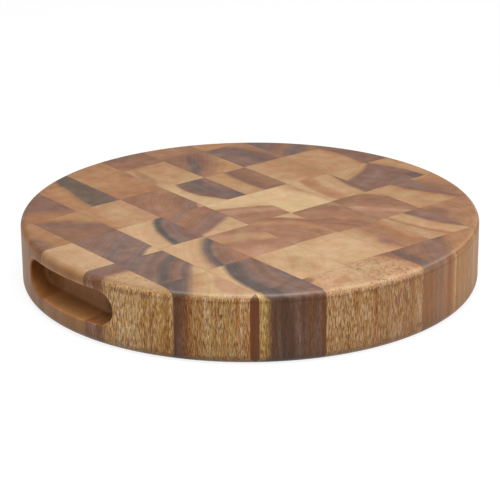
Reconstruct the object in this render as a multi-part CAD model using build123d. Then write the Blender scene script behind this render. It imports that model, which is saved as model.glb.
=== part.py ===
from build123d import *
from math import radians, tan
import os

# A round end-grain chopping block. Short wooden staves stand upright, side by side, glued
# into strips, and the strips are glued into a panel that is turned round. The end grain of
# every stave shows on the top and on the underside, and its long grain on the rim.
# Two finger recesses, opposite each other, are routed into the rim for lifting.
# All lengths are millimetres. The origin is the centre of the underside, +Z is up, and
# the two recesses face -X and +X. The strips run along Y.

# Turned disc
block_diameter = 400.0
block_thickness = 60.0
top_edge_radius = 6.0
bottom_edge_radius = 8.0

# Finger recess: a slot with round ends, seen from the side
recess_length = 121.8
recess_depth = 24.0
wood_over_recess = 11.6
wood_under_recess = 17.0
recess_back_radius = 4.0
recess_mouth_radius = 1.5
# Degrees by which the walls of a recess draw in from its mouth towards its back
recess_draft = 10.0
# Degrees that the recesses are turned from square to the strips
recess_turn = 0.4

# How far a cutting shape runs past what it cuts
cut_overrun = 5.0

# Glued panel: strips side by side along X, each of them a row of staves from back to front
strips = 9
rows = 7
# What the turning takes off the outer strips and the outer rows, as a share of a strip's
# width and of a stave's length
strip_trim_share = 0.272
row_trim_share = 0.295
# How far the panel's middle lies from the block's axis, as shares of the same two sizes
panel_side_share = -0.012
panel_back_share = 0.043
# How far the glue lines across each strip lie from the common rows, as shares of a stave's
# length, from back to front. The strips were clamped by eye, so no two line up exactly.
row_slip_shares = {
    "a": (-0.055, -0.055, -0.055, -0.050, -0.045, -0.050),
    "b": (-0.055, -0.055, -0.045, -0.055, -0.045, -0.050),
    "c": (-0.010, -0.015, 0.000, 0.015, -0.015, -0.035),
    "d": (-0.020, -0.020, -0.010, -0.020, -0.015, -0.045),
    "e": (-0.005, 0.000, 0.005, 0.015, 0.010, -0.010),
    "f": (-0.010, -0.010, 0.000, -0.010, -0.020, -0.020),
    "g": (-0.025, 0.010, -0.010, 0.000, 0.000, -0.020),
    "h": (-0.025, 0.005, -0.005, 0.015, 0.000, -0.010),
    "i": (-0.010, -0.005, -0.010, 0.020, 0.000, -0.010),
}

block_radius = block_diameter / 2
recess_height = block_thickness - wood_over_recess - wood_under_recess
recess_centre_height = wood_under_recess + recess_height / 2

# The panel just covers the disc, so a strip's width and a stave's length follow from it
strip_width = block_diameter / (strips - 2 * strip_trim_share)
stave_length = block_diameter / (rows - 2 * row_trim_share)
panel_left = (panel_side_share - strips / 2) * strip_width
panel_back = (panel_back_share + rows / 2) * stave_length


def turned_disc():
    """The panel after turning: a plain disc with both its edges rounded over."""
    disc = Cylinder(block_radius, block_thickness, align=(Align.CENTER, Align.CENTER, Align.MIN))
    # The seam of the rim is kept away from the recesses
    disc = disc.rotate(Axis.Z, 90)
    rings = disc.edges().filter_by(GeomType.CIRCLE).sort_by(Axis.Z)
    disc = fillet(rings[-1], top_edge_radius)
    rings = disc.edges().filter_by(GeomType.CIRCLE).sort_by(Axis.Z)
    return fillet(rings[0], bottom_edge_radius)


def recess_cutter():
    """The space of the recess on the -X side, widening to its mouth and run out past the rim."""
    back_wall = Plane(
        origin=(recess_depth - block_radius, 0, recess_centre_height),
        x_dir=(0, 1, 0),
        z_dir=(-1, 0, 0),
    )
    drawn_in = 2 * recess_depth * tan(radians(recess_draft))
    slot = back_wall * SlotOverall(recess_length - drawn_in, recess_height - drawn_in)
    cutter = extrude(slot, recess_depth + cut_overrun, taper=-recess_draft)
    back_edges = cutter.faces().sort_by(Axis.X)[-1].edges()
    cutter = fillet(back_edges, recess_back_radius)
    return cutter.rotate(Axis.Z, recess_turn)


def is_mouth_edge(edge):
    """True for the sharp edges that the recesses leave on the rim: they lie on the turned
    face beside a recess, and are neither its rings nor its seam."""
    points = [edge @ share for share in (0.0, 0.3, 0.5, 0.8, 1.0)]
    slack = recess_mouth_radius / 10
    at_rim = all(abs(Vector(point.X, point.Y).length - block_radius) < slack for point in points)
    lift = abs(points[2].Z - recess_centre_height)
    return at_rim and abs(points[2].Y) < recess_length / 2 + slack and lift < recess_height / 2 + slack


def shaped_block():
    """The whole block as one body: turned, both recesses routed, their mouths eased."""
    cutter = recess_cutter()
    block = turned_disc() - cutter - cutter.rotate(Axis.Z, 180)
    return fillet(block.edges().filter_by(is_mouth_edge), recess_mouth_radius)


def row_lines(slip_shares):
    """The Y places of a strip's cross lines, from back to front, with the panel's own ends."""
    lines = [panel_back - (row + 1 - slip) * stave_length for row, slip in enumerate(slip_shares)]
    return [panel_back] + lines + [panel_back - rows * stave_length]


def stave_space(left, right, back, front):
    """The upright box of a stave before turning, run out above and below the block."""
    middle = Pos((left + right) / 2, (back + front) / 2, block_thickness / 2)
    return middle * Box(right - left, back - front, block_thickness + 2 * cut_overrun)


def meets_disc(left, right, back, front):
    """True where the nearest point of the stave's box to the axis lies inside the rim."""
    nearest = Vector(max(left, min(0, right)), max(front, min(0, back)))
    return nearest.length < block_radius


block = shaped_block()
os.makedirs("parts", exist_ok=True)

for column, (letter, slip_shares) in enumerate(row_slip_shares.items()):
    left = panel_left + column * strip_width
    right = left + strip_width
    lines = row_lines(slip_shares)
    strip = block & stave_space(left, right, lines[0], lines[-1])
    for row in range(1, rows + 1):
        back, front = lines[row - 1], lines[row]
        if meets_disc(left, right, back, front):
            stave = strip & stave_space(left, right, back, front)
            stave.label = f"stave_{letter}{row}"
            export_step(stave, f"parts/{stave.label}.step")
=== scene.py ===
import math
from types import SimpleNamespace

import bpy
import numpy as np
from mathutils import Matrix, Vector


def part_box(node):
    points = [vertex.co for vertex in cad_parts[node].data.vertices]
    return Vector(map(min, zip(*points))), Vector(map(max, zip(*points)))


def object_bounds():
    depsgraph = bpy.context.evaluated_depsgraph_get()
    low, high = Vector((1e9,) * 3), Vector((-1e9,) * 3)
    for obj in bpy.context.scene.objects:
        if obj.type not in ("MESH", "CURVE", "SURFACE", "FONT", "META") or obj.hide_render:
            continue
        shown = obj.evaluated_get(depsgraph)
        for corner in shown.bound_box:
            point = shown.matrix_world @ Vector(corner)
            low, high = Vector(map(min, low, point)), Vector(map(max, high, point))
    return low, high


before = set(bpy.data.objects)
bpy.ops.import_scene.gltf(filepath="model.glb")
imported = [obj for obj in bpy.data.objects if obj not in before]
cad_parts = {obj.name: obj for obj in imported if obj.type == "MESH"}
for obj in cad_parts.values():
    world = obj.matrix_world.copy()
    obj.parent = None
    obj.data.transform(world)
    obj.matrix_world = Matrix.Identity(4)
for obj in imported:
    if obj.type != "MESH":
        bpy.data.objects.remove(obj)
cad_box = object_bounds()

# Camera
# Where it stands, seen from the middle of the underside: turned about Z, raised, and how far away.
# Angles are written in degrees and lengths in metres
camera_turn = math.radians(38.401)
camera_rise = math.radians(20.652)
camera_distance = 1.795242
camera_side_step = -0.000132
camera_up_step = 0.021099
camera_roll = math.radians(-0.438)
furthest_seen = 50
# The lens, in millimetres
focal_length = 145.863
picture_width = 36


def place_camera():
    """Stands the camera at distance along its own back direction, shifts it along its own right
    and up directions, rolls it about its line of sight, and turns all of that about Z."""
    back = Vector((0, -math.cos(camera_rise), math.sin(camera_rise)))
    right = Vector((1, 0, 0))
    up = back.cross(right)
    stand = back * camera_distance + right * camera_side_step + up * camera_up_step
    rolled_right = right * math.cos(camera_roll) + up * math.sin(camera_roll)
    rolled_up = up * math.cos(camera_roll) - right * math.sin(camera_roll)
    axes = Matrix((rolled_right, rolled_up, back)).transposed().to_4x4()
    lens = bpy.data.cameras.new("camera")
    lens.sensor_width = picture_width
    lens.lens = focal_length
    lens.clip_end = furthest_seen
    camera = bpy.data.objects.new("camera", lens)
    bpy.context.scene.collection.objects.link(camera)
    camera.matrix_world = Matrix.Rotation(-camera_turn, 4, "Z") @ Matrix.Translation(stand) @ axes
    bpy.context.scene.camera = camera


place_camera()


# Colours and nodes

plain_white = (1, 1, 1, 1)

# The kinds of nodes that come up most
number_node = "ShaderNodeMath"
vector_node = "ShaderNodeVectorMath"
range_node = "ShaderNodeMapRange"
mix_node = "ShaderNodeMix"
noise_node = "ShaderNodeTexNoise"


def linear(code):
    """An sRGB hex code as an opaque linear colour. The sRGB curve divides a channel of up to
    0.04045 by 12.92, and raises a brighter one, plus 0.055 and over 1.055, to the power of 2.4."""
    channels = [int(code[place:place + 2], 16) / 255 for place in (1, 3, 5)]
    return [c / 12.92 if c <= 0.04045 else ((c + 0.055) / 1.055) ** 2.4 for c in channels] + [1.0]


def add(tree, kind, inputs=None, give=None, **settings):
    """Adds a node of one kind and gives back one of its outputs: the one that is named, or else
    the first one in use. The settings are the node's own. The inputs give each of its sockets,
    by name or by number, a value or another node's output."""
    node = tree.nodes.new(kind)
    for name, value in settings.items():
        setattr(node, name, value)
    for place, value in (inputs or {}).items():
        if isinstance(value, bpy.types.NodeSocket):
            tree.links.new(value, node.inputs[place])
        else:
            node.inputs[place].default_value = value
    if give:
        return node.outputs[give]
    return next((output for output in node.outputs if output.enabled), None)


def new_material(name):
    """A material without nodes, and its node tree."""
    material = bpy.data.materials.new(name)
    material.use_nodes = True
    tree = material.node_tree
    tree.nodes.clear()
    return material, tree


# Oiled acacia
# A hard tropical wood, sawn, sanded and oiled. Sapwood is straw to honey, heartwood is red
# brown to purple brown with near black streaks, and the change between them follows a growth
# ring. The sanded end grain looks smooth and softly clouded. The long grain on the rim is
# warmer, with short brown dashes where pores are cut open. The oil gives a satin sheen:
# IOR about 1.45, roughness about 0.47.

# The dark, greyish tones plum, dusk and slate are lighter and greyer than the wood itself: besides the
# wood's colour they hold part of the satin sheen on the end grain, a painted reflection.
tones = {
    "straw": "#D4B182",
    "wheat": "#CAA377",
    "reed": "#DDB070",
    "tan": "#BF966B",
    "sand": "#B5885D",
    "rose": "#B38464",
    "honey": "#AC7B4F",
    "amber": "#A06E45",
    "clay": "#9B6C4C",
    "russet": "#8B5E41",
    "mulberry": "#83604F",
    "umber": "#7A5440",
    "plum": "#72594F",
    "dusk": "#675046",
    "moss": "#5C4836",
    "slate": "#54463F",
}
golden_brown = "#9C6C40"
# The tone of the painted highlight line on the round-over
edge_highlight_tone = "#F0DFC2"
open_pore = "#66380C"
reddish_fleck = "#8F5A3C"
aged_glue = "#4A3222"

# Each stave's growth rings: where its pith lies, and what tone the wood has at each distance
# from it, in millimetres. A pith mostly lies outside its own stave.
growth = {
    "a2": ((-250, 0), ((100, "amber"), (160, "amber"))),
    "a3": ((-250, 60), ((40, "amber"), (70, "amber"), (90, "honey"), (110, "honey"))),
    "a4": ((-300, 0), ((90, "sand"), (106, "tan"), (140, "wheat"))),
    "a5": ((-190, 300), ((330, "mulberry"), (349, "mulberry"), (355, "tan"), (368, "wheat"),
                         (400, "tan"))),
    "a6": ((-190, 200), ((290, "tan"), (310, "sand"))),
    "b1": ((-209, -3), ((150, "umber"), (200, "umber"))),
    "b2": ((-252, -145), ((240, "amber"), (266, "amber"), (284, "umber"), (320, "umber"))),
    "b3": ((-209, -3), ((40, "mulberry"), (70, "russet"), (100, "umber"), (105, "russet"), (108, "amber"),
                        (116, "honey"), (140, "honey"))),
    "b4": ((-80, -91), ((40, "tan"), (80, "wheat"), (84, "plum"), (96, "mulberry"), (110, "plum"),
                        (118, "mulberry"), (150, "mulberry"), (170, "russet"))),
    "b5": ((-40, -168), ((112, "wheat"), (118, "tan"), (123, "mulberry"), (127, "dusk"),
                         (131, "mulberry"), (136, "umber"), (140, "dusk"), (145, "slate"),
                         (150, "mulberry"), (156, "plum"), (160, "mulberry"), (166, "plum"),
                         (185, "plum"))),
    "b6": ((-328, 28), ((200, "dusk"), (216, "slate"), (223, "dusk"), (231, "sand"), (239, "tan"),
                        (245, "wheat"), (270, "tan"))),
    "b7": ((-328, 28), ((200, "umber"), (300, "umber"))),
    "c1": ((404, 47), ((470, "plum"), (483, "plum"), (490, "moss"), (507, "moss"), (511, "amber"),
                       (560, "honey"))),
    "c2": ((404, 47), ((470, "plum"), (481, "plum"), (488, "moss"), (506, "moss"), (510, "amber"),
                       (516, "honey"), (540, "amber"))),
    "c3": ((60, 60), ((130, "rose"), (145, "sand"), (165, "sand"), (180, "honey"))),
    "c4": ((-8, -32), ((50, "clay"), (64, "mulberry"), (72, "umber"), (77, "plum"), (80, "mulberry"),
                       (84, "plum"), (86, "mulberry"), (90, "slate"), (94, "slate"), (98, "tan"),
                       (110, "wheat"), (130, "tan"))),
    "c5": ((-6, -113), ((60, "clay"), (80, "clay"), (86, "mulberry"), (91, "russet"), (95, "mulberry"),
                        (99, "slate"), (103, "plum"), (109, "tan"), (125, "wheat"), (140, "tan"))),
    "c6": ((12, -153), ((80, "dusk"), (88, "plum"), (94, "mulberry"), (101, "umber"), (107, "mulberry"),
                        (111, "plum"), (115, "plum"), (118, "slate"), (126, "slate"), (130, "wheat"),
                        (150, "tan"))),
    "c7": ((12, -153), ((80, "dusk"), (89, "plum"), (93, "mulberry"), (96, "umber"), (99, "plum"),
                        (102, "mulberry"), (106, "plum"), (112, "dusk"), (115, "slate"), (120, "slate"),
                        (126, "dusk"), (130, "reed"), (150, "reed"))),
    "d1": ((-60, 400), ((200, "amber"), (240, "honey"))),
    "d2": ((-60, 400), ((240, "honey"), (262, "honey"), (285, "amber"), (310, "amber"))),
    "d3": ((60, -12), ((90, "tan"), (99, "sand"), (103, "umber"), (110, "mulberry"), (118, "russet"),
                       (135, "clay"), (150, "russet"), (175, "russet"))),
    "d4": ((-120, 128), ((90, "russet"), (112, "clay"), (121, "mulberry"), (128, "clay"), (138, "russet"),
                         (148, "mulberry"), (158, "mulberry"), (163, "tan"), (190, "wheat"))),
    "d5": ((-109, -197), ((100, "rose"), (126, "rose"), (140, "clay"), (148, "clay"), (156, "sand"),
                          (164, "rose"), (174, "clay"), (190, "clay"))),
    "d6": ((-150, -60), ((40, "tan"), (90, "tan"), (110, "wheat"), (150, "wheat"))),
    "d7": ((-100, -150), ((27, "umber"), (32, "umber"), (36, "tan"), (60, "wheat"), (76, "tan"),
                          (96, "rose"))),
    "e1": ((0, 400), ((200, "umber"), (225, "russet"), (245, "russet"))),
    "e2": ((0, 400), ((240, "honey"), (262, "sand"), (285, "sand"), (305, "tan"))),
    "e3": ((58, 78), ((34, "umber"), (42, "mulberry"), (50, "dusk"), (59, "dusk"), (66, "umber"),
                      (69, "umber"), (72, "tan"), (80, "wheat"), (100, "wheat"))),
    "e4": ((-55, -112), ((80, "clay"), (115, "clay"), (126, "rose"), (132, "clay"), (136, "wheat"),
                         (150, "straw"), (180, "straw"))),
    "e5": ((-43, -88), ((10, "rose"), (30, "clay"), (55, "clay"), (62, "honey"), (68, "clay"),
                        (73, "russet"), (77, "tan"), (90, "tan"))),
    "e6": ((0, -400), ((240, "tan"), (270, "wheat"), (295, "wheat"), (310, "tan"))),
    "e7": ((-42, -193), ((20, "tan"), (45, "tan"), (62, "sand"), (67, "russet"), (90, "umber"))),
    "f1": ((0, 400), ((200, "amber"), (230, "clay"), (245, "russet"))),
    "f2": ((-50, 214), ((80, "umber"), (110, "russet"), (124, "umber"), (134, "russet"), (140, "clay"),
                        (146, "honey"), (160, "sand"), (180, "sand"))),
    "f3": ((251, 58), ((180, "russet"), (195, "russet"), (206, "umber"), (211, "sand"), (230, "sand"))),
    "f4": ((317, 46), ((240, "sand"), (251, "sand"), (257, "wheat"), (264, "straw"), (300, "straw"))),
    "f5": ((7, -100), ((10, "clay"), (35, "clay"), (41, "russet"), (44, "clay"), (48, "russet"),
                       (52, "clay"), (70, "clay"), (80, "russet"), (86, "clay"), (100, "clay"))),
    "f6": ((190, -120), ((116, "rose"), (122, "honey"), (130, "amber"), (148, "clay"), (156, "sand"),
                         (163, "tan"), (180, "wheat"))),
    "f7": ((-153, -41), ((190, "umber"), (210, "umber"), (230, "russet"), (250, "mulberry"),
                         (262, "russet"), (267, "honey"), (280, "honey"))),
    "g1": ((80, 400), ((200, "honey"), (240, "honey"))),
    "g2": ((28, 105), ((40, "umber"), (58, "mulberry"), (68, "dusk"), (82, "umber"), (91, "clay"),
                       (110, "clay"))),
    "g3": ((200, 100), ((83, "honey"), (105, "honey"), (124, "sand"), (140, "tan"))),
    "g4": ((193, -11), ((72, "umber"), (81, "umber"), (85, "sand"), (99, "tan"), (105, "honey"),
                        (113, "amber"), (119, "tan"), (130, "tan"))),
    "g5": ((20, -130), ((50, "clay"), (84, "clay"), (93, "rose"), (100, "clay"), (108, "russet"),
                        (127, "russet"), (132, "sand"), (150, "sand"))),
    "g6": ((187, -93), ((66, "russet"), (80, "mulberry"), (87, "umber"), (91, "sand"), (103, "tan"),
                        (107, "honey"), (109, "clay"), (113, "sand"), (130, "rose"))),
    "g7": ((-153, -41), ((200, "umber"), (258, "umber"), (268, "amber"), (280, "amber"), (300, "amber"),
                         (320, "amber"))),
    "h1": ((80, 100), ((60, "umber"), (90, "umber"))),
    "h2": ((200, 40), ((60, "russet"), (78, "russet"), (88, "dusk"), (95, "plum"), (103, "russet"),
                       (112, "umber"), (124, "dusk"), (150, "dusk"))),
    "h3": ((79, 57), ((40, "honey"), (58, "sand"), (78, "sand"), (84, "honey"), (88, "russet"),
                      (110, "umber"))),
    "h4": ((69, 143), ((120, "sand"), (144, "sand"), (149, "umber"), (160, "mulberry"), (175, "umber"),
                       (200, "mulberry"))),
    "h5": ((329, 8), ((150, "russet"), (170, "mulberry"), (189, "umber"), (194, "honey"), (200, "sand"),
                      (220, "sand"))),
    "h6": ((100, -110), ((20, "russet"), (32, "clay"), (44, "amber"), (70, "clay"))),
    "h7": ((100, -110), ((20, "russet"), (60, "amber"))),
    "i2": ((60, 60), ((60, "umber"), (110, "umber"))),
    "i3": ((79, 57), ((85, "umber"), (95, "umber"), (115, "umber"))),
    "i4": ((74, -24), ((80, "umber"), (98, "umber"), (107, "umber"), (111, "honey"), (118, "sand"),
                       (130, "honey"))),
    "i5": ((140, -70), ((10, "umber"), (30, "russet"), (44, "clay"), (54, "honey"), (70, "honey"))),
    "i6": ((100, -110), ((20, "clay"), (80, "clay"))),
}

# Soft patches that follow no ring, such as mineral stain: middle, half width and half length
# in millimetres, turn in degrees, tone, and how far the wood takes that tone
stains = {
    "a3": ((-194, 45, 13, 19, 0, "umber", 0.8),),
    "b6": ((-127, -131, 9, 22, -10, "rose", 0.7),),
    "c3": ((-88, 74, 11, 15, 0, "tan", 0.7), (-110, 88, 12, 8, 0, "honey", 0.6)),
    "d1": ((-30, 165, 5, 10, 0, "amber", 0.6),),
    "d2": ((-28, 147, 5, 10, 0, "russet", 0.5),),
    "d6": ((-49, -131, 14, 23, -12, "sand", 0.6),),
    "d7": ((-69, -159, 7, 6, -30, "russet", 0.8), (-48, -178, 10, 6, 30, "honey", 0.6)),
    "e2": ((-18, 130, 4.5, 25, -9, "russet", 0.55),),
    "f2": ((37, 131, 5, 28, -26, "slate", 0.7),),
    "f6": ((41, -134, 7, 9, 0, "mulberry", 0.6),),
    "f7": ((28, -178, 6, 22, 0, "dusk", 0.8),),
    "h6": ((123, -110, 9, 13, -20, "umber", 0.6),),
    "i4": ((177, -21, 8, 9, 0, "slate", 0.8),),
}

# Staves with large reddish flecks, and how strongly they show
flecks = {"a5": 0.55, "a6": 0.5, "d7": 0.4, "e7": 0.9}

# Where the sapwood reaches further in on the rim than on the end grain, and by how much
rim_sapwood = {"b6": 3.2, "c7": 3.2}

# How the long grain on the rim looks beside the end grain: how open it is, from 0, smooth, to 1,
# full of pores and pale fibres, and its colour as shares of the end grain's red, green and blue
long_grain = {
    "a2": (0.15, (1.0, 1.0, 1.0)),
    "a3": (0.15, (1.14, 1.1, 1.05)),
    "a4": (0.15, (1.0, 0.86, 0.74)),
    "a5": (0.95, (1.5, 1.6, 1.6)),
    "a6": (1.0, (1.46, 1.52, 1.46)),
    "b6": (1.0, (1.15, 1.08, 0.95)),
    "b7": (0.35, (1.0, 0.86, 0.85)),
    "c7": (0.8, (0.87, 0.9, 0.94)),
    "d7": (0.9, (0.98, 0.94, 0.92)),
    "e7": (0.7, (0.86, 0.86, 0.84)),
    "f7": (0.3, (1.34, 1.48, 1.62)),
    "g7": (0.35, (1.15, 1.33, 1.6)),
    "h6": (0.25, (1.15, 1.28, 1.5)),
    "h7": (0.25, (1.15, 1.28, 1.5)),
    "i5": (0.3, (1.0, 1.05, 1.15)),
    "i6": (0.25, (1.1, 1.22, 1.4)),
}
plain_grain = (0.6, (1.0, 1.0, 1.0))

# How many of each pattern lie in a millimetre. The grain wanders over about 33 mm and changes its
# cast over about 22 mm. Clouds are about 12 mm across, growth rings about 3 mm apart, and the
# stripes on the rim 5 mm wide
wanders_per_mm = 0.03
casts_per_mm = 0.045
clouds_per_mm = 0.08
rings_per_mm = 0.3
stripes_per_mm = 0.2
# Real fibres are 0.1 mm wide. They are drawn about 0.7 mm wide, so that they show
fibres_per_mm = 1.4
# Across X, across Y and along Z. Real pores are 0.2 mm wide and 3 to 5 mm long. They are drawn
# about 0.6 mm wide, so that they show, and 5 mm long. Flecks are 2.5 mm wide and 7 mm long
pores_per_mm = (1.5, 1.5, 0.2)
flecks_per_mm = (0.4, 0.4, 0.14)
# How far the slow wander moves the grain across X, across Y and along Z, and how far the fibres
# fray the rings, in millimetres, between the least and the most of their noise
widest_sway = (8, 8, 0)
ring_fray = 2.5
# How many of each lie along Z for every one across: fewer, so that they run up and down a stave
slow_stretch = (1, 1, 0.06)
wander_stretch = (1, 1, 0.4)
fibre_stretch = (1, 1, 0.1)

# How far fibres stand proud, and how far the noise moves on from strip to strip and from stave to
# stave, in millimetres
relief_height = 0.2
strip_shift = 61.0
row_shift = 83.0
strips = "abcdefghi"

# Sizes of the block, in millimetres, from the imported model
mm = 1000
half_height = round(cad_box[1][2] * mm) / 2
block_radius = round(cad_box[1][0] * mm)
strip_low, strip_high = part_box("stave_b4")
strip_line = strip_low[0] * mm
strip_width = (strip_high[0] - strip_low[0]) * mm

# The mouth of a recess, in millimetres: a slot with round ends, and the painted highlight on its
# lip, a little beyond the slot's own outline
slot_length = 121.8
slot_height = 31.4
slot_middle_height = 32.7
slot_straight_half = (slot_length - slot_height) / 2
slot_to_lip = slot_height / 2 + 0.5

# Depths below an end-grain face, in millimetres: where the end grain begins to turn into long
# grain and where it is all long grain, in texture, and where it is as warm as it gets
end_grain_until = 0.3
long_grain_from = 4.0
warm_from = 5.0
# The middle of the painted highlight line on the round-over, as a depth, and of the painted dark
# line, painted shade, at the foot of the round-over, as a height
highlight_line_depth = 1.3
crease_height = 2 * half_height - 6.5


def holds_recess(stave):
    """True for the staves that a finger recess is cut into."""
    return stave[0] in "ai" and stave[1] in "345"


def wood_places(tree, stave, pith):
    """Where a point lies in its stave, in millimetres, and the patterns that the layers of the
    wood share. Every pattern is stretched along Z, so that it runs up and down the stave."""
    strip, row = stave[0], int(stave[1])
    wood = SimpleNamespace()
    place = add(tree, "ShaderNodeTexCoord", give="Object")
    spot = add(tree, vector_node, {0: place, 1: (mm, mm, mm)}, operation="MULTIPLY")
    wood.axes = add(tree, "ShaderNodeSeparateXYZ", {0: spot}).node.outputs
    wood.level = add(tree, vector_node, {0: spot, 1: (1, 1, 0)}, operation="MULTIPLY")
    # How far the point lies from the nearer of the two end-grain faces
    wood.deep = add(tree, number_node, {0: wood.axes[2], 1: half_height}, operation="PINGPONG")
    # The change from end grain to long grain, from 0 to 1, in texture and in colour
    wood.rim = add(tree, range_node, {
        "Value": wood.deep, "From Min": end_grain_until, "From Max": long_grain_from,
    })
    cool_until = 0.5 if strip == "a" else 2.0
    wood.warmth = add(tree, range_node, {
        "Value": wood.deep, "From Min": cool_until, "From Max": warm_from,
    })
    # How far the point's depth is from the middle of the painted highlight line
    off_edge = add(tree, number_node, {0: wood.deep, 1: highlight_line_depth}, operation="SUBTRACT")
    wood.off_edge = add(tree, number_node, {0: off_edge}, operation="ABSOLUTE")

    # Each stave is sawn from another place, so its noise starts elsewhere
    own_start = (strip_shift * strips.index(strip), row_shift * row, 0)
    wood.own = add(tree, vector_node, {0: spot, 1: own_start}, operation="ADD")
    wood.along = add(tree, vector_node, {0: wood.own, 1: slow_stretch}, operation="MULTIPLY")
    wood.cloud = add(tree, noise_node, {"Vector": wood.along, "Scale": clouds_per_mm, "Detail": 2})
    strand = add(tree, vector_node, {0: wood.own, 1: fibre_stretch}, operation="MULTIPLY")
    fibre = add(tree, noise_node, {
        "Vector": strand, "Scale": fibres_per_mm, "Detail": 3, "Roughness": 0.7,
    })
    wood.fibre = add(tree, number_node, {0: fibre, 1: 0.5}, operation="SUBTRACT")

    # Slow wander of the grain, a few millimetres over a stave's width and height
    waving = add(tree, vector_node, {0: wood.own, 1: wander_stretch}, operation="MULTIPLY")
    wander = add(tree, noise_node, {
        "Vector": waving, "Scale": wanders_per_mm, "Detail": 1.5,
    }, give="Color")
    sway = add(tree, vector_node, {0: wander, 1: (0.5, 0.5, 0.5)}, operation="SUBTRACT")
    wood.swayed = add(tree, vector_node, {
        0: sway, 1: widest_sway, 2: wood.level,
    }, operation="MULTIPLY_ADD")

    # How far the point lies from the pith. The fibres fray the rings
    reach = add(tree, vector_node, {0: wood.swayed, 1: (*pith, 0)}, operation="DISTANCE")
    reach = add(tree, number_node, {0: wood.fibre, 1: ring_fray, 2: reach}, operation="MULTIPLY_ADD")
    if stave in rim_sapwood:
        further = rim_sapwood[stave]
        reach = add(tree, number_node, {0: wood.warmth, 1: further, 2: reach}, operation="MULTIPLY_ADD")
    wood.reach = reach
    return wood


def ring_tones(tree, wood, bands):
    """The tone by distance from the pith: a ramp from the nearest to the furthest band."""
    nearest, furthest = bands[0][0], bands[-1][0]
    share = add(tree, range_node, {
        "Value": wood.reach, "From Min": nearest, "From Max": furthest,
    })
    colour = add(tree, "ShaderNodeValToRGB", {"Fac": share})
    stops = colour.node.color_ramp.elements
    for number, (distance, tone) in enumerate(bands):
        stop = stops[number] if number < 2 else stops.new(1.0)
        stop.position = (distance - nearest) / (furthest - nearest)
        stop.color = linear(tones[tone])
    return colour


def stained(tree, wood, stave, colour):
    """Adds the stave's soft patches: the distance from a patch's middle over its half sizes, with
    a soft edge that the fibres fray. On the rim only a fifth of them is left."""
    faded = add(tree, number_node, {0: wood.warmth, 1: -0.8, 2: 1.0}, operation="MULTIPLY_ADD")
    for across, away, half_width, half_length, turn, tone, share in stains.get(stave, ()):
        patch = add(tree, "ShaderNodeMapping", {
            "Vector": wood.swayed, "Location": (across, away, 0),
            "Rotation": (0, 0, math.radians(turn)), "Scale": (half_width, half_length, 1),
        }, vector_type="TEXTURE")
        off = add(tree, vector_node, {0: patch}, operation="LENGTH")
        off = add(tree, number_node, {0: wood.fibre, 1: 0.5, 2: off}, operation="MULTIPLY_ADD")
        soft = add(tree, range_node, {
            "Value": off, "From Min": 0.65, "From Max": 1.25, "To Min": share, "To Max": 0.0,
        }, interpolation_type="SMOOTHSTEP")
        soft = add(tree, number_node, {0: soft, 1: faded}, operation="MULTIPLY")
        stain = linear(tones[tone])
        colour = add(tree, mix_node, {"Factor": soft, "A": colour, "B": stain}, data_type="RGBA")
    return colour


def figured(tree, wood, openness, colour):
    """Adds growth rings, soft clouds, fibres and, on the rim, stripes: the gamma of the colour
    is a plain one plus each pattern times its strength, so that each raises or lowers it."""
    ring = add(tree, noise_node, {
        "W": wood.reach, "Scale": rings_per_mm, "Detail": 2.5, "Roughness": 0.6,
    }, noise_dimensions="1D")
    stripe = add(tree, noise_node, {"Vector": wood.along, "Scale": stripes_per_mm, "Detail": 2})
    stripe = add(tree, number_node, {0: stripe, 1: 0.5}, operation="SUBTRACT")
    on_end_grain, on_long_grain = 0.1, 0.02 + 1.05 * openness
    striping = add(tree, range_node, {
        "Value": wood.rim, "To Min": on_end_grain, "To Max": on_long_grain,
    })
    gamma = 0.64
    for pattern, strength in ((ring, 0.22), (wood.cloud, 0.5), (stripe, striping), (wood.fibre, 0.35)):
        gamma = add(tree, number_node, {0: pattern, 1: strength, 2: gamma}, operation="MULTIPLY_ADD")
    return add(tree, "ShaderNodeGamma", {"Color": colour, "Gamma": gamma})


def warmed(tree, wood, tint, colour):
    """Makes the long grain warmer and more saturated, lets the cast drift slowly between yellower
    and redder, and gives the long grain its own tint."""
    warmer = (0.012, -0.022, -0.038)
    darkest = (0.02, 0.012, 0.008)
    yellower = (0.96, 1.02, 1.0, 1)
    redder = (1.03, 0.98, 1.02, 1)
    shift = add(tree, vector_node, {0: warmer, "Scale": wood.warmth}, operation="SCALE")
    colour = add(tree, vector_node, {0: colour, 1: shift}, operation="ADD")
    colour = add(tree, vector_node, {0: colour, 1: darkest}, operation="MAXIMUM")
    drift = add(tree, noise_node, {"Vector": wood.along, "Scale": casts_per_mm, "Detail": 1})
    drift = add(tree, range_node, {"Value": drift, "From Min": 0.3, "From Max": 0.7})
    cast = add(tree, mix_node, {"Factor": drift, "A": yellower, "B": redder}, data_type="RGBA")
    colour = add(tree, vector_node, {0: colour, 1: cast}, operation="MULTIPLY")
    tinted = add(tree, mix_node, {
        "Factor": wood.warmth, "A": plain_white, "B": (*tint, 1),
    }, data_type="RGBA")
    return add(tree, vector_node, {0: colour, 1: tinted}, operation="MULTIPLY")


def burnished(tree, wood, colour):
    """Inside a finger recess the cutter has burnished the wood and the oil has stayed, so all
    staves are nearer to one golden brown there."""
    radius = add(tree, vector_node, {0: wood.level}, operation="LENGTH")
    begins, is_full = block_radius - 1, block_radius - 6
    nearest_end_grain = 9
    inside = add(tree, range_node, {
        "Value": radius, "From Min": begins, "From Max": is_full, "To Max": 0.4,
    })
    within = add(tree, number_node, {0: wood.deep, 1: nearest_end_grain}, operation="GREATER_THAN")
    burnish = add(tree, number_node, {0: inside, 1: within}, operation="MULTIPLY")
    golden = linear(golden_brown)
    return add(tree, mix_node, {"Factor": burnish, "A": colour, "B": golden}, data_type="RGBA")


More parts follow.
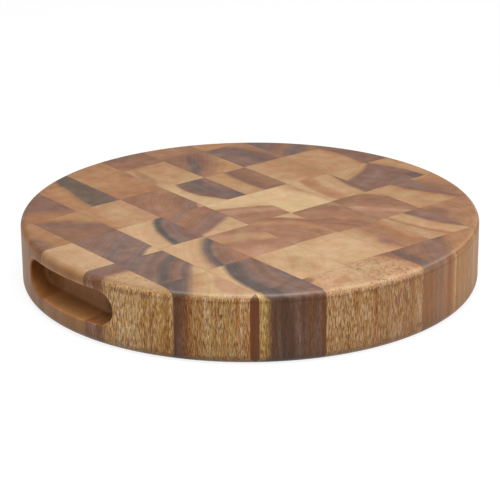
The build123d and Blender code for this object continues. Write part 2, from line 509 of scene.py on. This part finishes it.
def painted_edge_highlight(tree, wood, colour):
    """A thin pale line runs along the round-over: a painted highlight."""
    half_width = 1.1
    highlight_share = add(tree, range_node, {
        "Value": wood.off_edge, "From Max": half_width, "To Min": 0.12, "To Max": 0.0,
    })
    highlight_tone = linear(edge_highlight_tone)
    return add(tree, mix_node, {"Factor": highlight_share, "A": colour, "B": highlight_tone}, data_type="RGBA")


def fibrous(tree, wood, openness, colour):
    """Adds pale and dark fibres to the long grain: the colour times one plus a share of the fibre
    noise, never below a floor. As wood has little blue, the fibres change its blue most and its
    red least, so that all three channels rise and fall by about as much."""
    channel_shares = (0.58, 0.95, 2.1)
    channel_floors = (0.55, 0.4, 0.03)
    strength = add(tree, range_node, {"Value": wood.rim, "To Min": 0.0, "To Max": 5.7 * openness})
    strength = add(tree, number_node, {0: wood.fibre, 1: strength}, operation="MULTIPLY")
    factor = add(tree, vector_node, {0: channel_shares, "Scale": strength}, operation="SCALE")
    factor = add(tree, vector_node, {0: factor, 1: (1, 1, 1)}, operation="ADD")
    factor = add(tree, vector_node, {0: factor, 1: channel_floors}, operation="MAXIMUM")
    return add(tree, vector_node, {0: colour, 1: factor}, operation="MULTIPLY")


def painted_edge_light_and_shade(tree, wood, stave):
    """What the colour is multiplied by for its height, as painted light and shade: above one on the
    painted highlight line, but not on the first strip, less where the round-over meets the rim, a
    painted dark line, and less towards the foot, painted shade."""
    on_line, off_crease, crease_half_width = 1.13, 0.28, 1.6
    # On the first strip the round-over is darker: painted shade for the side that gets less light.
    if stave[0] == "a":
        on_line, off_crease, crease_half_width = 0.93, 0.1, 3.5
    if stave == "a5":
        on_line, off_crease = 0.74, 0.28
    line_half_width = 1.6
    # Painted shade, darker towards the foot
    foot_low, foot_high, on_foot = 4.0, 24.0, 0.76
    shade = add(tree, range_node, {
        "Value": wood.off_edge, "From Max": line_half_width, "To Min": on_line, "To Max": 1.0,
    })
    # A painted dark line where the round-over meets the rim
    crease = add(tree, number_node, {0: wood.axes[2], 1: crease_height}, operation="SUBTRACT")
    crease = add(tree, number_node, {0: crease}, operation="ABSOLUTE")
    crease = add(tree, range_node, {
        "Value": crease, "From Max": crease_half_width, "To Min": off_crease, "To Max": 0.0,
    })
    shade = add(tree, number_node, {0: shade, 1: crease}, operation="SUBTRACT")
    foot = add(tree, range_node, {
        "Value": wood.axes[2], "From Min": foot_low, "From Max": foot_high, "To Min": on_foot,
    })
    return add(tree, number_node, {0: shade, 1: foot}, operation="MULTIPLY")


def lip_painted_highlight(tree, wood):
    """What the colour is multiplied by at the upper lip of a recess, a painted highlight: it falls off
    with the distance from the slot's outline, which is the distance from the straight part of the
    slot's middle line less half the slot's height."""
    lip_half, lip_fades = 0.6, 2.0
    beyond = add(tree, number_node, {0: wood.axes[1]}, operation="ABSOLUTE")
    beyond = add(tree, number_node, {0: beyond, 1: slot_straight_half}, operation="SUBTRACT")
    beyond = add(tree, number_node, {0: beyond, 1: 0.0}, operation="MAXIMUM")
    above = add(tree, number_node, {0: wood.axes[2], 1: slot_middle_height}, operation="SUBTRACT")
    above = add(tree, number_node, {0: above, 1: 0.0}, operation="MAXIMUM")
    off = add(tree, "ShaderNodeCombineXYZ", {0: beyond, 1: above})
    off = add(tree, vector_node, {0: off}, operation="LENGTH")
    off = add(tree, number_node, {0: off, 1: slot_to_lip}, operation="SUBTRACT")
    off = add(tree, number_node, {0: off}, operation="ABSOLUTE")
    return add(tree, range_node, {
        "Value": off, "From Min": lip_half, "From Max": lip_fades, "To Min": 1.4, "To Max": 1.0,
    })


def pores(tree, wood, openness):
    """How dark the open pores are, from 0 to 1. They show where their own noise plus a share of
    the clouds is high, so that they lie in loose crowds."""
    place = add(tree, vector_node, {0: wood.own, 1: pores_per_mm}, operation="MULTIPLY")
    pore = add(tree, noise_node, {"Vector": place, "Scale": 1.0, "Detail": 0.5})
    pore = add(tree, number_node, {0: wood.cloud, 1: 0.3, 2: pore}, operation="MULTIPLY_ADD")
    on_end_grain, on_long_grain = 0.15, 0.1 + 0.7 * openness
    show = add(tree, range_node, {
        "Value": wood.rim, "To Min": on_end_grain, "To Max": on_long_grain,
    })
    return add(tree, range_node, {
        "Value": pore, "From Min": 0.72, "From Max": 0.78, "To Max": show,
    })


def flecked(tree, wood, share, colour):
    """Adds large reddish flecks, as long dashes where their noise is high."""
    place = add(tree, vector_node, {0: wood.own, 1: flecks_per_mm}, operation="MULTIPLY")
    fleck = add(tree, noise_node, {"Vector": place, "Scale": 1.0, "Detail": 1})
    fleck = add(tree, range_node, {
        "Value": fleck, "From Min": 0.58, "From Max": 0.66, "To Max": share,
    })
    reddish = linear(reddish_fleck)
    return add(tree, mix_node, {"Factor": fleck, "A": colour, "B": reddish}, data_type="RGBA")


def glued(tree, wood, stave, colour):
    """Adds the glue lines: how near the point is to a line between two strips, or to a side that
    the stave shares with the next stave of its strip."""
    line_half, line_fades = 0.1, 0.5
    strip, row = stave[0], int(stave[1])
    low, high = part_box(f"stave_{stave}")
    past = add(tree, number_node, {0: wood.axes[0], 1: strip_line}, operation="SUBTRACT")
    near = add(tree, number_node, {0: past, 1: strip_width / 2}, operation="PINGPONG")
    for next_row, side in ((row - 1, high[1]), (row + 1, low[1])):
        if f"stave_{strip}{next_row}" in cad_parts:
            off = add(tree, number_node, {0: wood.axes[1], 1: side * mm}, operation="SUBTRACT")
            off = add(tree, number_node, {0: off}, operation="ABSOLUTE")
            near = add(tree, number_node, {0: near, 1: off}, operation="MINIMUM")
    glue = add(tree, range_node, {
        "Value": near, "From Min": line_half, "From Max": line_fades, "To Min": 0.3, "To Max": 0.0,
    })
    aged = linear(aged_glue)
    return add(tree, mix_node, {"Factor": glue, "A": colour, "B": aged}, data_type="RGBA")


def acacia(stave):
    """One stave's wood. The tone is a ramp over the distance from the pith, bent by slow noise,
    and the wood changes from sanded end grain to long grain over the first few millimetres below
    the top and above the underside."""
    pith, bands = growth[stave]
    openness, tint = long_grain.get(stave, plain_grain)
    material, tree = new_material(f"oiled_acacia_{stave}")
    wood = wood_places(tree, stave, pith)
    colour = ring_tones(tree, wood, bands)
    colour = stained(tree, wood, stave, colour)
    colour = figured(tree, wood, openness, colour)
    colour = warmed(tree, wood, tint, colour)
    # Painted highlight and painted shade along the round-over, and painted shade towards the foot
    shade = painted_edge_light_and_shade(tree, wood, stave)
    if holds_recess(stave):
        colour = burnished(tree, wood, colour)
        # The upper lip of a recess is lighter: a painted highlight
        shade = add(tree, number_node, {0: shade, 1: lip_painted_highlight(tree, wood)}, operation="MULTIPLY")
    # The painted highlight line is left off the first strip.
    if stave[0] != "a":
        colour = painted_edge_highlight(tree, wood, colour)
    colour = fibrous(tree, wood, openness, colour)
    # The painted light and shade scale the colour
    colour = add(tree, vector_node, {0: colour, "Scale": shade}, operation="SCALE")
    pore = pores(tree, wood, openness)
    dark = linear(open_pore)
    colour = add(tree, mix_node, {"Factor": pore, "A": colour, "B": dark}, data_type="RGBA")
    if stave in flecks:
        colour = flecked(tree, wood, flecks[stave], colour)
    colour = glued(tree, wood, stave, colour)

    # Raised fibres are a little rougher than the wood between them, and open pores are hollow
    roughness = add(tree, range_node, {
        "Value": wood.fibre, "From Min": -0.2, "From Max": 0.2, "To Min": 0.42, "To Max": 0.52,
    })
    relief = add(tree, number_node, {0: pore, 1: -1.0, 2: wood.fibre}, operation="MULTIPLY_ADD")
    normal = add(tree, "ShaderNodeBump", {
        "Height": relief, "Strength": 0.25, "Distance": relief_height / mm,
    })
    surface = add(tree, "ShaderNodeBsdfPrincipled", {
        "Base Color": colour, "Roughness": roughness, "Normal": normal, "IOR": 1.45,
    })
    add(tree, "ShaderNodeOutputMaterial", {"Surface": surface})
    return material


for name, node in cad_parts.items():
    node.material_slots[0].material = acacia(name[-2:])


# Floor, lamps and surroundings

floor_reach = 6.0
floor_squares = 12
# The floor lies a tenth of a millimetre under the underside, so that the two never share a plane
floor_drop = 0.0001


def lay_floor():
    """A flat grid of points over a square, just under the block. Each face joins a point, the
    next one in its row, and the two beside them in the next row."""
    row = floor_squares + 1
    steps = np.linspace(-floor_reach, floor_reach, row)
    across, away = np.meshgrid(steps, steps)
    points = np.stack([across, away, np.full_like(across, -floor_drop)], axis=-1).reshape(-1, 3)
    first = np.arange(floor_squares)
    corner = (first[:, None] * row + first).reshape(-1)
    faces = np.stack([corner, corner + 1, corner + row + 1, corner + row], axis=-1)
    mesh = bpy.data.meshes.new("floor")
    mesh.from_pydata(points.tolist(), [], faces.tolist())
    floor = bpy.data.objects.new("floor", mesh)
    bpy.context.scene.collection.objects.link(floor)
    return floor


def white_board(lift):
    """Matt white board. The camera and reflections see it lifted by a glow to plain white, with
    the object's shadow left on it, and other light sees the board's own paler grey."""
    material, tree = new_material("matt_white_board")
    path = add(tree, "ShaderNodeLightPath").node.outputs
    seen = add(tree, number_node, {
        0: path["Is Camera Ray"], 1: path["Is Glossy Ray"],
    }, operation="MAXIMUM")
    board = add(tree, "ShaderNodeBsdfDiffuse", {"Color": linear("#808080")})
    glow = add(tree, "ShaderNodeEmission", {"Color": plain_white, "Strength": lift})
    lifted = add(tree, "ShaderNodeAddShader", {0: board, 1: glow})
    surface = add(tree, "ShaderNodeMixShader", {0: seen, 1: board, 2: lifted})
    add(tree, "ShaderNodeOutputMaterial", {"Surface": surface})
    return material


floor = lay_floor()
floor.data.materials.append(white_board(lift=0.85))


def surround(strength, dim, white):
    """A plain white room. The camera sees it white. Reflections see it dim at floor level and
    white from about 35 degrees up, and as light it has one low level of white all round. The
    height of a direction is the sine of its angle above the floor."""
    world = bpy.data.worlds.new("studio")
    bpy.context.scene.world = world
    world.use_nodes = True
    tree = world.node_tree
    tree.nodes.clear()
    path = add(tree, "ShaderNodeLightPath").node.outputs
    way = add(tree, "ShaderNodeTexCoord", give="Generated")
    height = add(tree, "ShaderNodeSeparateXYZ", {0: way}, give="Z")
    mirrored = add(tree, range_node, {
        "Value": height, "From Min": 0.2, "From Max": 0.6, "To Min": dim, "To Max": white,
    })
    level = add(tree, mix_node, {"Factor": path["Is Glossy Ray"], "A": strength, "B": mirrored})
    clear = add(tree, number_node, {
        0: path["Is Camera Ray"], 1: path["Is Transmission Ray"],
    }, operation="MAXIMUM")
    level = add(tree, mix_node, {"Factor": clear, "A": level, "B": 1.0})
    room = add(tree, "ShaderNodeBackground", {"Color": plain_white, "Strength": level})
    add(tree, "ShaderNodeOutputWorld", {"Surface": room})


def soft_lamp(name, place, aim, size, watts):
    """A square soft box that looks from its place towards a point."""
    light = bpy.data.lights.new(name, "AREA")
    light.size = size
    light.energy = watts
    lamp = bpy.data.objects.new(name, light)
    bpy.context.scene.collection.objects.link(lamp)
    lamp.location = place
    lamp.rotation_euler = (Vector(aim) - Vector(place)).to_track_quat("-Z", "Y").to_euler()


surround(strength=0.36, dim=0.1, white=1.15)
soft_lamp("key_box", place=(-0.46, -0.58, 1.85), aim=(0, 0, 0.05), size=1.2, watts=25)
soft_lamp("right_box", place=(1.12, -1.51, 0.68), aim=(0, 0, 0.03), size=1.0, watts=14)

bpy.context.scene.view_settings.view_transform = "Standard"
